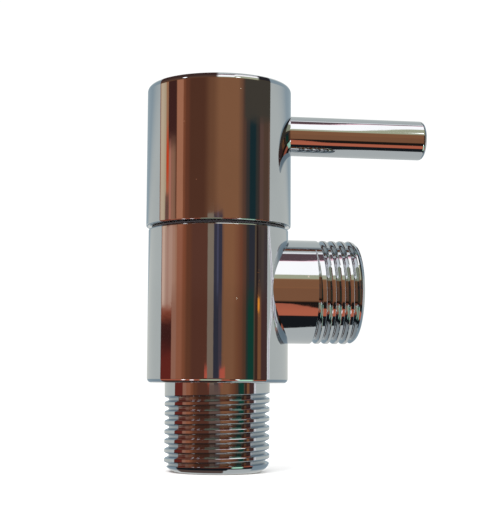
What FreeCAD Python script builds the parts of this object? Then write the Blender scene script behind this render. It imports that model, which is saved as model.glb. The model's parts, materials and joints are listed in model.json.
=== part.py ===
# Chrome-plated quarter-turn angle valve with a round pin lever.
#
# The inlet spigot points down, the outlet points along +X, and the round handle
# turns about +Z above the barrel. The origin is the centre of the inlet's end face.
# A ceramic-disc cartridge is screwed into the top of the barrel. Its spindle
# carries the handle on a splined head, where a grub screw locks it.
# At rest the lever lies over the outlet, which is open. A quarter turn
# clockwise, seen from above, closes the valve.
# All sizes are in millimetres.

import FreeCAD
import Part

import math
import os

V = FreeCAD.Vector
X_AXIS = V(1, 0, 0)
Y_AXIS = V(0, 1, 0)
Z_AXIS = V(0, 0, 1)
ORIGIN = V(0, 0, 0)
FULL_TURN = 360.0
QUARTER = 90.0

# Clearances
RUNNING = 0.05          # radial play of turning pieces
SLIDE = 0.08            # play of pieces that are pushed together
FILM = 0.02             # gap between two lapped or bedded faces
AXIAL = 0.10            # end play of turning pieces
OVERCUT = 1.0           # how far a cut starts outside the metal it takes away

# Pipe threads, both half-inch parallel
THREAD_D = 20.8
THREAD_PITCH = 1.814
THREAD_DEPTH = 1.08
THREAD_CREST = 0.30     # share of the pitch left flat on the crest
GROOVE_OVERRUN = 1.2    # height of the groove's cutter, in thread depths

# Barrel
BARREL_D = 27.9
BARREL_HEIGHT = 30.4
BARREL_FOOT_CHAMFER = 0.6
BARREL_TOP_CHAMFER = 0.3

# Inlet spigot, below the barrel
INLET_LENGTH = 17.4
INLET_LAND = 1.9
INLET_BORE_D = 12.4
INLET_BORE_DEPTH = 20.0
INLET_NOSE_RADIAL = 2.7
INLET_NOSE_LENGTH = 2.4

# Outlet branch, along +X
OUTLET_REACH = 27.8
OUTLET_ABOVE_FOOT = 18.3
OUTLET_LAND_REACH = 17.5
OUTLET_NECK_DRAFT = 0.06
OUTLET_BORE_D = 12.8
OUTLET_NOSE_RADIAL = 1.35
OUTLET_NOSE_LENGTH = 1.7

# Inside of the barrel
SEAT_ABOVE_FOOT = 9.6
SEAT_BORE_D = 11.0
CHAMBER_D = 18.4
CARTRIDGE_THREAD_D = 20.0
CARTRIDGE_THREAD_LENGTH = 7.0
MOUTH_CHAMFER = 0.5

# Cartridge housing
FLANGE_D = 22.0
FLANGE_THICK = 1.6
HEX_ACROSS_FLATS = 18.0
HEX_HEIGHT = 4.0
NECK_D = 15.2
NECK_HEIGHT = 2.6
SKIRT_D = 17.8
SKIRT_BORE_D = 15.4
SKIRT_SHORT_OF_SEAT = 0.4
WINDOW_ANGLE = 96.0
WINDOW_ABOVE_DISC = 0.8
WINDOW_BELOW_BORE = 0.6
GASKET_GROOVE_HEIGHT = 1.7
GASKET_GROOVE_DEPTH = 1.3

# Ceramic discs and seat seal
SEAL_HEIGHT = 2.6
SEAL_BORE_D = 11.4
SEAL_LIP_CHAMFER = 0.5
SUPPORT_RING_BORE_D = 10.0
SUPPORT_RING_HEIGHT = 1.8
DISC_THICK = 2.6
PORT_ANGLE = 78.0
PORT_INNER_R = 1.7
PORT_OUTER_R = 5.6
TAB_WIDTH = 2.8
TAB_OUT = 0.9
DRIVE_SLOT_WIDTH = 3.2
DRIVE_SLOT_DEPTH = 1.3
SILENCER_WALL = 0.8
SILENCER_RIM = 0.8
SILENCER_SLITS = 12
SILENCER_SLIT_ANGLE = 12.0

# Spindle
FOOT_HEIGHT = 1.4
FOOT_LENGTH = 13.6
STEM_D = 6.8
COLLAR_D = 13.6
COLLAR_THICK = 2.6
COLLAR_BORE_DEPTH = 3.4
THRUST_WASHER_THICK = 0.5
BARREL_JOURNAL_D = 10.4
RING_SECTION = 1.30
RING_GROOVE_WIDTH = 1.8
RING_GROOVE_DEPTH = 1.30
RING_SPACING = 3.8
KEY_D = 9.0
KEY_FLATS = 7.6
STOP_WASHER_D = 12.0
STOP_WASHER_THICK = 1.6
STOP_LUG_ANGLE = 28.0
STOP_LUG_OUT = 1.3
STOP_MARGIN_ANGLE = 1.0
HANDLE_TRAVEL = 90.0
CLIP_D = 12.6
CLIP_THICK = 0.8
CLIP_GROOVE_D = 7.2
CLIP_MOUTH = 4.8
SPLINE_TEETH = 20
SPLINE_D = 8.0
SPLINE_TOOTH = 0.45
SPLINE_LENGTH = 9.4
SPLINE_WAIST_D = 6.6
SPLINE_WAIST_LENGTH = 3.4
INSERT_D = 10.6
INSERT_KEY_CUT = 0.7

# Glide ring between barrel and handle
SEAM = 0.5
GLIDE_RING_INSET = 1.15
FLANGE_GAP = 0.15
GLIDE_LIP_THICK = 0.8
GLIDE_LIP_HEIGHT = 2.4

# Handle hub, whose wall stands round the glide ring's lip
HUB_HEIGHT = 28.5
HUB_TOP_ROUND = 1.5
HUB_EDGE_CHAMFER = 0.3
HUB_WALL = 2.45
HUB_CAVITY_DEPTH = 12.0
HUB_BOSS_D = 14.0
HUB_BOSS_DROP = 2.9
SOCKET_OVER_SPLINE = 1.0

# Lever, its stud and the grub screw
LEVER_D = 8.0
LEVER_REACH = 42.4
LEVER_ABOVE_EDGE = 19.1
LEVER_END_ROUND = 0.9
LEVER_SEAT_DEPTH = 2.85
STUD_D = 5.0
STUD_LENGTH = 12.5
STUD_IN_LEVER = 8.4
STUD_KEY = 2.5
TAP_RUNOUT = 0.5
GRUB_D = 4.0
GRUB_SINK = 3.07
GRUB_ABOVE_MIDDLE = 1.6
GRUB_TIP_D = 2.4
GRUB_TIP_LENGTH = 1.2
GRUB_KEY = 2.0
KEY_DEPTH = 2.4

# Heights that follow from the sizes above
FOOT_Z = INLET_LENGTH
OUTLET_Z = FOOT_Z + OUTLET_ABOVE_FOOT
SEAT_Z = FOOT_Z + SEAT_ABOVE_FOOT
BARREL_TOP_Z = FOOT_Z + BARREL_HEIGHT
HUB_Z = BARREL_TOP_Z + SEAM
HUB_TOP_Z = HUB_Z + HUB_HEIGHT
LEVER_Z = HUB_Z + LEVER_ABOVE_EDGE
GASKET_Z = BARREL_TOP_Z - GASKET_GROOVE_HEIGHT
THREAD_FLOOR_Z = BARREL_TOP_Z - CARTRIDGE_THREAD_LENGTH
FIXED_DISC_Z = SEAT_Z + SEAL_HEIGHT
DRIVE_DISC_Z = FIXED_DISC_Z + DISC_THICK + FILM
DRIVE_TOP_Z = DRIVE_DISC_Z + DISC_THICK
SHOULDER_Z = THREAD_FLOOR_Z + COLLAR_BORE_DEPTH
WASHER_Z = SHOULDER_Z - THRUST_WASHER_THICK - FILM
COLLAR_Z = WASHER_Z - COLLAR_THICK - FILM
FLANGE_TOP_Z = BARREL_TOP_Z + FLANGE_THICK
HEX_TOP_Z = FLANGE_TOP_Z + HEX_HEIGHT
NECK_TOP_Z = HEX_TOP_Z + NECK_HEIGHT
STOP_Z = NECK_TOP_Z - STOP_WASHER_THICK - AXIAL
CLIP_Z = NECK_TOP_Z + AXIAL
SPLINE_Z = CLIP_Z + CLIP_THICK + SLIDE + AXIAL
SPLINE_TOP_Z = SPLINE_Z + SPLINE_LENGTH
LOWER_RING_Z = SHOULDER_Z + RING_GROOVE_WIDTH
UPPER_RING_Z = LOWER_RING_Z + RING_SPACING
GRUB_Z = SPLINE_Z + SPLINE_LENGTH / 2 + GRUB_ABOVE_MIDDLE
CAVITY_TOP_Z = HUB_Z + HUB_CAVITY_DEPTH
SOCKET_TOP_Z = SPLINE_TOP_Z + SOCKET_OVER_SPLINE

# Radii and places that follow
THREAD_R = THREAD_D / 2
GLIDE_BORE_R = FLANGE_D / 2 + FLANGE_GAP
GLIDE_LIP_R = GLIDE_BORE_R + GLIDE_LIP_THICK
CAVITY_R = GLIDE_LIP_R + RUNNING
HUB_R = CAVITY_R + HUB_WALL
GRUB_TIP_X = -SPLINE_WAIST_D / 2 - SLIDE
GRUB_LENGTH = HUB_R - GRUB_SINK + GRUB_TIP_X
LEVER_SEAT_X = HUB_R - LEVER_SEAT_DEPTH
STUD_X = LEVER_SEAT_X + STUD_IN_LEVER - STUD_LENGTH
JOURNAL_BORE_R = BARREL_JOURNAL_D / 2 + RUNNING
STOP_BORE_R = STOP_WASHER_D / 2 + SLIDE
GASKET_FLOOR_R = CARTRIDGE_THREAD_D / 2 - GASKET_GROOVE_DEPTH
RING_FLOOR_R = BARREL_JOURNAL_D / 2 - RING_GROOVE_DEPTH


def cylinder(radius, z0, z1):
    """A round bar about Z, from height z0 to z1."""
    return Part.makeCylinder(radius, z1 - z0, V(0, 0, z0))


def tube(inner, outer, z0, z1):
    """A plain ring about Z."""
    return cylinder(outer, z0, z1).cut(cylinder(inner, z0, z1))


def bar_x(radius, x0, x1, z):
    """A round bar along X at height z."""
    return Part.makeCylinder(radius, x1 - x0, V(x0, 0, z), X_AXIS)


def turned(profile):
    """A solid of revolution about Z from (radius, height) corners."""
    corners = [V(r, 0, z) for r, z in profile]
    face = Part.Face(Part.makePolygon(corners + corners[:1]))
    return face.revolve(ORIGIN, Z_AXIS, FULL_TURN)


def sector(inner, outer, z0, z1, middle, angle):
    """A piece of a ring that spans an angle about a middle direction."""
    start = math.radians(middle - angle / 2)
    end = math.radians(middle + angle / 2)
    half = math.radians(middle)

    def at(radius, turn):
        return V(radius * math.cos(turn), radius * math.sin(turn), z0)

    outline = Part.Wire([
        Part.Arc(at(outer, start), at(outer, half), at(outer, end)).toShape(),
        Part.LineSegment(at(outer, end), at(inner, end)).toShape(),
        Part.Arc(at(inner, end), at(inner, half), at(inner, start)).toShape(),
        Part.LineSegment(at(inner, start), at(outer, start)).toShape(),
    ])
    return Part.Face(outline).extrude(V(0, 0, z1 - z0))


def prism(corners, z0, z1):
    """A straight prism from flat (x, y) corners."""
    points = [V(x, y, z0) for x, y in corners]
    return Part.Face(Part.makePolygon(points + points[:1])).extrude(V(0, 0, z1 - z0))


def hexagon(across_flats, z0, z1):
    """A hexagonal prism about Z."""
    corner = across_flats / math.sqrt(3)
    turns = [math.radians(60 * k) for k in range(6)]
    return prism([(corner * math.cos(t), corner * math.sin(t)) for t in turns], z0, z1)


def star(tip, root, z0, z1):
    """The toothed prism of the spline, with one tooth on +X."""
    corners = []
    for k in range(2 * SPLINE_TEETH):
        turn = math.pi * k / SPLINE_TEETH
        radius = root if k % 2 else tip
        corners.append((radius * math.cos(turn), radius * math.sin(turn)))
    return prism(corners, z0, z1)


def circle_edges(shape, radius, z):
    """The full-circle edges about Z of a given radius and height."""
    found = []
    for edge in shape.Edges:
        curve = edge.Curve
        if isinstance(curve, Part.Circle) and abs(curve.Radius - radius) < 1e-4:
            middle = curve.Center
            if abs(middle.z - z) < 1e-4 and math.hypot(middle.x, middle.y) < 1e-4:
                found.append(edge)
    return found


def thread_groove(at):
    """One turn of the thread's groove, as a sharp ring cut past the crest."""
    half = GROOVE_OVERRUN * THREAD_PITCH * (1 - THREAD_CREST) / 2
    root = THREAD_R - THREAD_DEPTH
    mouth = root + GROOVE_OVERRUN * THREAD_DEPTH
    return turned([(root, at), (mouth, at - half), (mouth, at + half)])


def threaded_spigot(length, land, draft, nose_radial, nose_length):
    """A male pipe end about Z, with its open end at z = 0 and its ridges at the true pitch."""
    blank = turned([
        (0, 0),
        (THREAD_R - nose_radial, 0),
        (THREAD_R, nose_length),
        (THREAD_R, length - land),
        (THREAD_R + draft, length),
        (0, length),
    ])
    first = length - land - THREAD_PITCH / 2
    turns = int((first - nose_length) / THREAD_PITCH) + 1
    grooves = [thread_groove(first - k * THREAD_PITCH) for k in range(turns)]
    return blank.cut(Part.makeCompound(grooves))


def valve_body():
    """The one-piece forging: barrel, inlet spigot and outlet branch, with its bores."""
    barrel = cylinder(BARREL_D / 2, FOOT_Z, BARREL_TOP_Z)
    barrel = barrel.makeChamfer(
        BARREL_FOOT_CHAMFER, circle_edges(barrel, BARREL_D / 2, FOOT_Z))
    barrel = barrel.makeChamfer(
        BARREL_TOP_CHAMFER, circle_edges(barrel, BARREL_D / 2, BARREL_TOP_Z))
    inlet = threaded_spigot(
        INLET_LENGTH + OVERCUT, INLET_LAND + OVERCUT, 0,
        INLET_NOSE_RADIAL, INLET_NOSE_LENGTH)
    outlet = threaded_spigot(
        OUTLET_REACH, OUTLET_LAND_REACH, OUTLET_NECK_DRAFT,
        OUTLET_NOSE_RADIAL, OUTLET_NOSE_LENGTH)
    outlet.rotate(ORIGIN, Y_AXIS, -QUARTER)
    outlet.translate(V(OUTLET_REACH, 0, OUTLET_Z))
    body = barrel.fuse([inlet, outlet])
    bores = turned([
        (0, 0),
        (INLET_BORE_D / 2, 0),
        (INLET_BORE_D / 2, INLET_BORE_DEPTH),
        (SEAT_BORE_D / 2, INLET_BORE_DEPTH),
        (SEAT_BORE_D / 2, SEAT_Z),
        (CHAMBER_D / 2, SEAT_Z),
        (CHAMBER_D / 2, THREAD_FLOOR_Z),
        (CARTRIDGE_THREAD_D / 2, THREAD_FLOOR_Z),
        (CARTRIDGE_THREAD_D / 2, BARREL_TOP_Z - MOUTH_CHAMFER),
        (CARTRIDGE_THREAD_D / 2 + MOUTH_CHAMFER, BARREL_TOP_Z),
        (0, BARREL_TOP_Z),
    ])
    body = body.cut(bores)
    body = body.cut(bar_x(OUTLET_BORE_D / 2, 0, OUTLET_REACH, OUTLET_Z))
    return body.removeSplitter()


def cartridge_housing():
    """The brass screw-in bonnet with its windowed skirt."""
    core = turned([
        (SKIRT_BORE_D / 2, SEAT_Z + SKIRT_SHORT_OF_SEAT),
        (SKIRT_D / 2, SEAT_Z + SKIRT_SHORT_OF_SEAT),
        (SKIRT_D / 2, THREAD_FLOOR_Z + FILM),
        (CARTRIDGE_THREAD_D / 2 - RUNNING, THREAD_FLOOR_Z + FILM),
        (CARTRIDGE_THREAD_D / 2 - RUNNING, BARREL_TOP_Z),
        (FLANGE_D / 2, BARREL_TOP_Z),
        (FLANGE_D / 2, FLANGE_TOP_Z),
        (NECK_D / 2, FLANGE_TOP_Z),
        (NECK_D / 2, NECK_TOP_Z),
        (JOURNAL_BORE_R, NECK_TOP_Z),
        (JOURNAL_BORE_R, SHOULDER_Z),
        (COLLAR_D / 2 + RUNNING, SHOULDER_Z),
        (COLLAR_D / 2 + RUNNING, THREAD_FLOOR_Z),
        (SKIRT_BORE_D / 2, THREAD_FLOOR_Z),
    ])
    hexagonal = hexagon(HEX_ACROSS_FLATS, FLANGE_TOP_Z, HEX_TOP_Z)
    hollow = cylinder(NECK_D / 2 - OVERCUT, FLANGE_TOP_Z, HEX_TOP_Z)
    housing = core.fuse(hexagonal.cut(hollow))
    housing = housing.cut(tube(GASKET_FLOOR_R, FLANGE_D / 2, GASKET_Z, BARREL_TOP_Z))
    window_z0 = DRIVE_TOP_Z + WINDOW_ABOVE_DISC
    window_z1 = THREAD_FLOOR_Z - WINDOW_BELOW_BORE
    for side in (0, 180):
        housing = housing.cut(
            sector(STEM_D / 2, SKIRT_D / 2 + OVERCUT, window_z0, window_z1, side, WINDOW_ANGLE))
    slot = TAB_WIDTH / 2 + SLIDE
    for side in (-1, 1):
        notch = Part.makeBox(
            2 * slot, SKIRT_D / 2, DISC_THICK + SEAL_HEIGHT,
            V(-slot, 0 if side > 0 else -SKIRT_D / 2, SEAT_Z))
        housing = housing.cut(notch)
    stop_floor = STOP_Z - AXIAL
    housing = housing.cut(cylinder(STOP_BORE_R, stop_floor, NECK_TOP_Z))
    sweep = HANDLE_TRAVEL + STOP_LUG_ANGLE + 2 * STOP_MARGIN_ANGLE
    housing = housing.cut(sector(
        STOP_BORE_R - OVERCUT, NECK_D / 2 + OVERCUT, stop_floor, NECK_TOP_Z,
        -HANDLE_TRAVEL / 2, sweep))
    return housing.removeSplitter()


def disc_ports(z0, z1):
    """The two sector ports that both discs share, on the Y sides when open."""
    return Part.makeCompound([
        sector(PORT_INNER_R, PORT_OUTER_R, z0, z1, side, PORT_ANGLE) for side in (90, 270)])


def fixed_disc():
    """The lower ceramic disc, held by two tabs in the skirt's slots."""
    top = FIXED_DISC_Z + DISC_THICK
    disc = cylinder(SKIRT_BORE_D / 2 - SLIDE, FIXED_DISC_Z, top)
    reach = SKIRT_BORE_D / 2 + TAB_OUT
    tabs = Part.makeBox(
        TAB_WIDTH, 2 * reach, DISC_THICK - SLIDE, V(-TAB_WIDTH / 2, -reach, FIXED_DISC_Z))
    disc = disc.fuse(tabs)
    return disc.cut(disc_ports(FIXED_DISC_Z, top)).removeSplitter()


def drive_disc():
    """The upper ceramic disc, with the slot that the spindle's foot drives."""
    disc = cylinder(SKIRT_BORE_D / 2 - 2 * SLIDE, DRIVE_DISC_Z, DRIVE_TOP_Z)
    disc = disc.cut(disc_ports(DRIVE_DISC_Z, DRIVE_TOP_Z))
    slot = Part.makeBox(
        SKIRT_BORE_D, DRIVE_SLOT_WIDTH, DRIVE_SLOT_DEPTH,
        V(-SKIRT_BORE_D / 2, -DRIVE_SLOT_WIDTH / 2, DRIVE_TOP_Z - DRIVE_SLOT_DEPTH))
    return disc.cut(slot)


def seat_seal():
    """The rubber ring between the fixed disc and the seat in the barrel."""
    ring = tube(SEAL_BORE_D / 2, SKIRT_BORE_D / 2 - SLIDE, SEAT_Z, FIXED_DISC_Z)
    lip = circle_edges(ring, SKIRT_BORE_D / 2 - SLIDE, SEAT_Z)
    return ring.makeChamfer(SEAL_LIP_CHAMFER, lip)


def seal_support_ring():
    """The hard ring that keeps the seat seal from folding inwards."""
    outer = SEAL_BORE_D / 2 - FILM
    z0 = SEAT_Z + (SEAL_HEIGHT - SUPPORT_RING_HEIGHT) / 2
    return tube(SUPPORT_RING_BORE_D / 2, outer, z0, z0 + SUPPORT_RING_HEIGHT)


def flow_silencer():
    """The slit ring that breaks up the flow on its way to the windows."""
    outer = SKIRT_BORE_D / 2 - SLIDE
    inner = outer - SILENCER_WALL
    z0 = DRIVE_TOP_Z + FOOT_HEIGHT + AXIAL
    z1 = THREAD_FLOOR_Z - FILM
    ring = tube(inner, outer, z0, z1)
    step = FULL_TURN / SILENCER_SLITS
    slits = [
        sector(
            inner - OVERCUT, outer + OVERCUT, z0, z1 - SILENCER_RIM,
            k * step, SILENCER_SLIT_ANGLE)
        for k in range(SILENCER_SLITS)
    ]
    return ring.cut(Part.makeCompound(slits))


def housing_gasket():
    """The square rubber ring that seals the cartridge in the barrel's mouth."""
    outer = CARTRIDGE_THREAD_D / 2 - SLIDE
    return tube(GASKET_FLOOR_R + FILM, outer, GASKET_Z + SLIDE, BARREL_TOP_Z - SLIDE)


def thrust_washer():
    """The slippery washer over the spindle's collar."""
    inner = BARREL_JOURNAL_D / 2 + SLIDE
    return tube(inner, COLLAR_D / 2 - SLIDE, WASHER_Z, WASHER_Z + THRUST_WASHER_THICK)


def spindle():
    """The brass stem: driving foot, collar, sealed journal, keyed neck and splined head."""
    foot_z = DRIVE_TOP_Z - DRIVE_SLOT_DEPTH + FILM
    foot_width = DRIVE_SLOT_WIDTH - 2 * SLIDE
    foot_top = DRIVE_TOP_Z + FOOT_HEIGHT
    foot = Part.makeBox(
        FOOT_LENGTH, foot_width, foot_top - foot_z,
        V(-FOOT_LENGTH / 2, -foot_width / 2, foot_z))
    foot = foot.common(cylinder(FOOT_LENGTH / 2, foot_z, foot_top))
    half = RING_GROOVE_WIDTH / 2
    stem = turned([
        (0, foot_top - FOOT_HEIGHT / 2),
        (STEM_D / 2, foot_top - FOOT_HEIGHT / 2),
        (STEM_D / 2, COLLAR_Z),
        (COLLAR_D / 2, COLLAR_Z),
        (COLLAR_D / 2, COLLAR_Z + COLLAR_THICK),
        (BARREL_JOURNAL_D / 2, COLLAR_Z + COLLAR_THICK),
        (BARREL_JOURNAL_D / 2, LOWER_RING_Z - half),
        (RING_FLOOR_R, LOWER_RING_Z - half),
        (RING_FLOOR_R, LOWER_RING_Z + half),
        (BARREL_JOURNAL_D / 2, LOWER_RING_Z + half),
        (BARREL_JOURNAL_D / 2, UPPER_RING_Z - half),
        (RING_FLOOR_R, UPPER_RING_Z - half),
        (RING_FLOOR_R, UPPER_RING_Z + half),
        (BARREL_JOURNAL_D / 2, UPPER_RING_Z + half),
        (BARREL_JOURNAL_D / 2, STOP_Z - AXIAL),
        (0, STOP_Z - AXIAL),
    ])
    neck = cylinder(KEY_D / 2, STOP_Z - AXIAL, SPLINE_Z).common(Part.makeBox(
        KEY_FLATS, KEY_D, SPLINE_Z - STOP_Z + AXIAL,
        V(-KEY_FLATS / 2, -KEY_D / 2, STOP_Z - AXIAL)))
    neck = neck.cut(tube(
        CLIP_GROOVE_D / 2, KEY_D, CLIP_Z, CLIP_Z + CLIP_THICK + SLIDE))
    head = star(SPLINE_D / 2, SPLINE_D / 2 - SPLINE_TOOTH, SPLINE_Z, SPLINE_TOP_Z)
    head = head.cut(tube(
        SPLINE_WAIST_D / 2, SPLINE_D,
        GRUB_Z - SPLINE_WAIST_LENGTH / 2, GRUB_Z + SPLINE_WAIST_LENGTH / 2))
    return foot.fuse([stem, neck, head]).removeSplitter()


def stop_washer():
    """The keyed washer whose lug meets the two ends of the neck's notch."""
    top = STOP_Z + STOP_WASHER_THICK
    washer = cylinder(STOP_WASHER_D / 2, STOP_Z, top)
    lug = sector(
        STOP_WASHER_D / 2 - OVERCUT, STOP_WASHER_D / 2 + STOP_LUG_OUT, STOP_Z, top,
        0, STOP_LUG_ANGLE)
    hole = cylinder(KEY_D / 2 + SLIDE, STOP_Z, top).common(Part.makeBox(
        KEY_FLATS + 2 * SLIDE, 2 * KEY_D, STOP_WASHER_THICK,
        V(-KEY_FLATS / 2 - SLIDE, -KEY_D, STOP_Z)))
    return washer.fuse(lug).cut(hole).removeSplitter()


def retaining_clip():
    """The open spring clip in the groove over the stop washer."""
    z0 = CLIP_Z + SLIDE / 2
    z1 = z0 + CLIP_THICK
    clip = tube(CLIP_GROOVE_D / 2 + FILM, CLIP_D / 2, z0, z1)
    mouth = Part.makeBox(
        CLIP_MOUTH, CLIP_D, CLIP_THICK, V(-CLIP_MOUTH / 2, 0, z0))
    return clip.cut(mouth)


def glide_ring():
    """The dark ring that the handle's edge turns on and is centred by."""
    edge = HUB_R - GLIDE_RING_INSET
    return turned([
        (GLIDE_BORE_R, BARREL_TOP_Z),
        (edge, BARREL_TOP_Z),
        (edge, HUB_Z - AXIAL),
        (GLIDE_LIP_R, HUB_Z - AXIAL),
        (GLIDE_LIP_R, HUB_Z + GLIDE_LIP_HEIGHT),
        (GLIDE_BORE_R, HUB_Z + GLIDE_LIP_HEIGHT),
    ])


def keyed_bar(radius, z0, z1):
    """A round bar with one flat, which keeps the insert from turning in the hub."""
    flat_x = -(INSERT_D / 2 - INSERT_KEY_CUT) - (radius - INSERT_D / 2)
    keep = Part.makeBox(
        2 * radius, 2 * radius, z1 - z0, V(flat_x, -radius, z0))
    return cylinder(radius, z0, z1).common(keep)


def spline_insert():
    """The plastic bush that carries the hub on the splined head."""
    z0 = CAVITY_TOP_Z - HUB_BOSS_DROP
    z1 = SOCKET_TOP_Z - SLIDE
    insert = keyed_bar(INSERT_D / 2, z0, z1)
    insert = insert.cut(star(
        SPLINE_D / 2 + SLIDE, SPLINE_D / 2 - SPLINE_TOOTH + SLIDE, z0, z1))
    return insert.cut(bar_x(GRUB_D / 2 + SLIDE, -INSERT_D, 0, GRUB_Z))


def handle_hub():
    """The round handle: a cup over the cartridge with a solid head for the lever."""
    hub = cylinder(HUB_R, HUB_Z, HUB_TOP_Z)
    hub = hub.makeFillet(HUB_TOP_ROUND, circle_edges(hub, HUB_R, HUB_TOP_Z))
    hub = hub.makeChamfer(HUB_EDGE_CHAMFER, circle_edges(hub, HUB_R, HUB_Z))
    cavity = cylinder(CAVITY_R, HUB_Z, CAVITY_TOP_Z)
    boss_z = CAVITY_TOP_Z - HUB_BOSS_DROP
    hub = hub.cut(cavity.cut(cylinder(HUB_BOSS_D / 2, boss_z, CAVITY_TOP_Z)))
    hub = hub.cut(keyed_bar(INSERT_D / 2 + SLIDE, boss_z, SOCKET_TOP_Z))
    hub = hub.cut(bar_x(LEVER_D / 2 + RUNNING, LEVER_SEAT_X, HUB_R + OVERCUT, LEVER_Z))
    hub = hub.cut(bar_x(STUD_D / 2, STUD_X - TAP_RUNOUT, LEVER_SEAT_X, LEVER_Z))
    return hub.cut(bar_x(GRUB_D / 2, -HUB_R - OVERCUT, -SPLINE_WAIST_D / 2, GRUB_Z))


def lever_rod():
    """The polished rod that stands out of the hub."""
    rod = bar_x(LEVER_D / 2, LEVER_SEAT_X, LEVER_REACH, LEVER_Z)
    ends = [e for e in rod.Edges
            if isinstance(e.Curve, Part.Circle) and abs(e.Curve.Center.x - LEVER_REACH) < 1e-4]
    rod = rod.makeFillet(LEVER_END_ROUND, ends)
    return rod.cut(bar_x(
        STUD_D / 2, LEVER_SEAT_X, LEVER_SEAT_X + STUD_IN_LEVER + TAP_RUNOUT, LEVER_Z))


def lever_stud():
    """The headless screw that joins the lever to the hub."""
    stud = cylinder(STUD_D / 2 - RUNNING, 0, STUD_LENGTH)
    stud = stud.cut(hexagon(STUD_KEY, STUD_LENGTH - KEY_DEPTH, STUD_LENGTH))
    stud.rotate(ORIGIN, Y_AXIS, QUARTER)
    stud.translate(V(STUD_X, 0, LEVER_Z))
    return stud


def grub_screw():
    """The headless screw behind the handle, with its tip in the spindle's waist."""
    screw = turned([
        (0, 0),
        (GRUB_TIP_D / 2, 0),
        (GRUB_D / 2 - RUNNING, GRUB_TIP_LENGTH),
        (GRUB_D / 2 - RUNNING, GRUB_LENGTH),
        (0, GRUB_LENGTH),
    ])
    screw = screw.cut(hexagon(GRUB_KEY, GRUB_LENGTH - KEY_DEPTH, GRUB_LENGTH))
    screw.rotate(ORIGIN, Y_AXIS, -QUARTER)
    screw.translate(V(GRUB_TIP_X, 0, GRUB_Z))
    return screw


def spindle_o_ring(z):
    """One of the two rubber rings round the journal, squeezed flat on its floor and the bore."""
    inner = RING_FLOOR_R + FILM
    outer = inner + RING_SECTION - 2 * FILM
    middle = (inner + outer) / 2
    half = RING_SECTION / 2
    flat = half / 2
    return turned([
        (inner, z - flat),
        (middle, z - half),
        (outer, z - flat),
        (outer, z + flat),
        (middle, z + half),
        (inner, z + flat),
    ])


PIECES = {
    "valve_body": valve_body,
    "cartridge_housing": cartridge_housing,
    "housing_gasket": housing_gasket,
    "seat_seal": seat_seal,
    "seal_support_ring": seal_support_ring,
    "fixed_disc": fixed_disc,
    "drive_disc": drive_disc,
    "flow_silencer": flow_silencer,
    "spindle": spindle,
    "thrust_washer": thrust_washer,
    "spindle_o_ring_lower": lambda: spindle_o_ring(LOWER_RING_Z),
    "spindle_o_ring_upper": lambda: spindle_o_ring(UPPER_RING_Z),
    "stop_washer": stop_washer,
    "retaining_clip": retaining_clip,
    "glide_ring": glide_ring,
    "handle_hub": handle_hub,
    "spline_insert": spline_insert,
    "lever_rod": lever_rod,
    "lever_stud": lever_stud,
    "grub_screw": grub_screw,
}


def main():
    os.makedirs("parts", exist_ok=True)
    for name, build in PIECES.items():
        shape = build()
        print(name, len(shape.Solids), "solid,", round(shape.Volume, 1), "mm3,",
              "valid" if shape.isValid() else "NOT VALID")
        shape.exportStep("parts/" + name + ".step")


main()
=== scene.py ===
import json
import math

import bmesh
import bpy
from mathutils import Matrix, Vector


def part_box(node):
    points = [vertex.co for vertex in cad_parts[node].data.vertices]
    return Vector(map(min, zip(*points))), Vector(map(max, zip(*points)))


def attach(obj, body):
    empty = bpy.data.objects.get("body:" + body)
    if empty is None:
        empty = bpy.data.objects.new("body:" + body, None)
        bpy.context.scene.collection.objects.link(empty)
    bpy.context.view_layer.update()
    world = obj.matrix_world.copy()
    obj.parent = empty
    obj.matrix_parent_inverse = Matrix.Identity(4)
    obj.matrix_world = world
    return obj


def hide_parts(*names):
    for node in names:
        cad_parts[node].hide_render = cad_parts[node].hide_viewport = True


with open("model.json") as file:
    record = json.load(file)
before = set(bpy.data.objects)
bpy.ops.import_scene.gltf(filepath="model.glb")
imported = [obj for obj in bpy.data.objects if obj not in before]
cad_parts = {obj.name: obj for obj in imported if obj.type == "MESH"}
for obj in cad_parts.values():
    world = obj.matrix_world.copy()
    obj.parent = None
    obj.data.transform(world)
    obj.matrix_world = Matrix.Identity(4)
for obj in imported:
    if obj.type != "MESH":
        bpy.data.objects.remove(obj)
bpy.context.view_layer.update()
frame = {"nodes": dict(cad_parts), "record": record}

# Dresses the quarter-turn angle valve: its chromed forging with the cut pipe
# threads, the handle, the lever, and the finish of every inner piece.

bl_info = {
    "name": "Angle valve dresser",
    "version": (1, 0, 0),
    "blender": (4, 5, 0),
    "location": "3D View > Sidebar > Angle Valve",
    "description": "Models and finishes a chromed quarter-turn angle valve round its CAD frame",
    "category": "Object",
}

MM = 0.001
HEIGHT_SLACK = 0.01 * MM
RADIUS_SLACK = 0.02 * MM
FULL_TURN = 2 * math.pi
QUARTER = math.pi / 2
ABOUT = {"X": Matrix.Rotation(QUARTER, 4, "Y"), "Z": Matrix.Identity(4)}

# Places that the frame gives
MOUNTS = {m["name"]: m for m in frame["record"]["mounts"]}
BODY_LOW, BODY_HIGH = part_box("valve_body")
HUB_LOW, HUB_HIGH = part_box("handle_hub")
LEVER_LOW, LEVER_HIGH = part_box("lever_rod")
SCREW_LOW, SCREW_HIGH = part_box("grub_screw")
SCREW_Z = (SCREW_LOW.z + SCREW_HIGH.z) / 2
LEVER_Z = (LEVER_LOW.z + LEVER_HIGH.z) / 2
OUTLET_Z = MOUNTS["outlet_thread"]["pos_m"][2]
THREAD_R = MOUNTS["outlet_thread"]["dims"]["r_mm"] * MM
INLET_BORE_R = MOUNTS["inlet_bore"]["dims"]["r_mm"] * MM
INLET_BORE_DEPTH = MOUNTS["inlet_bore"]["dims"]["length_mm"] * MM


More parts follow.
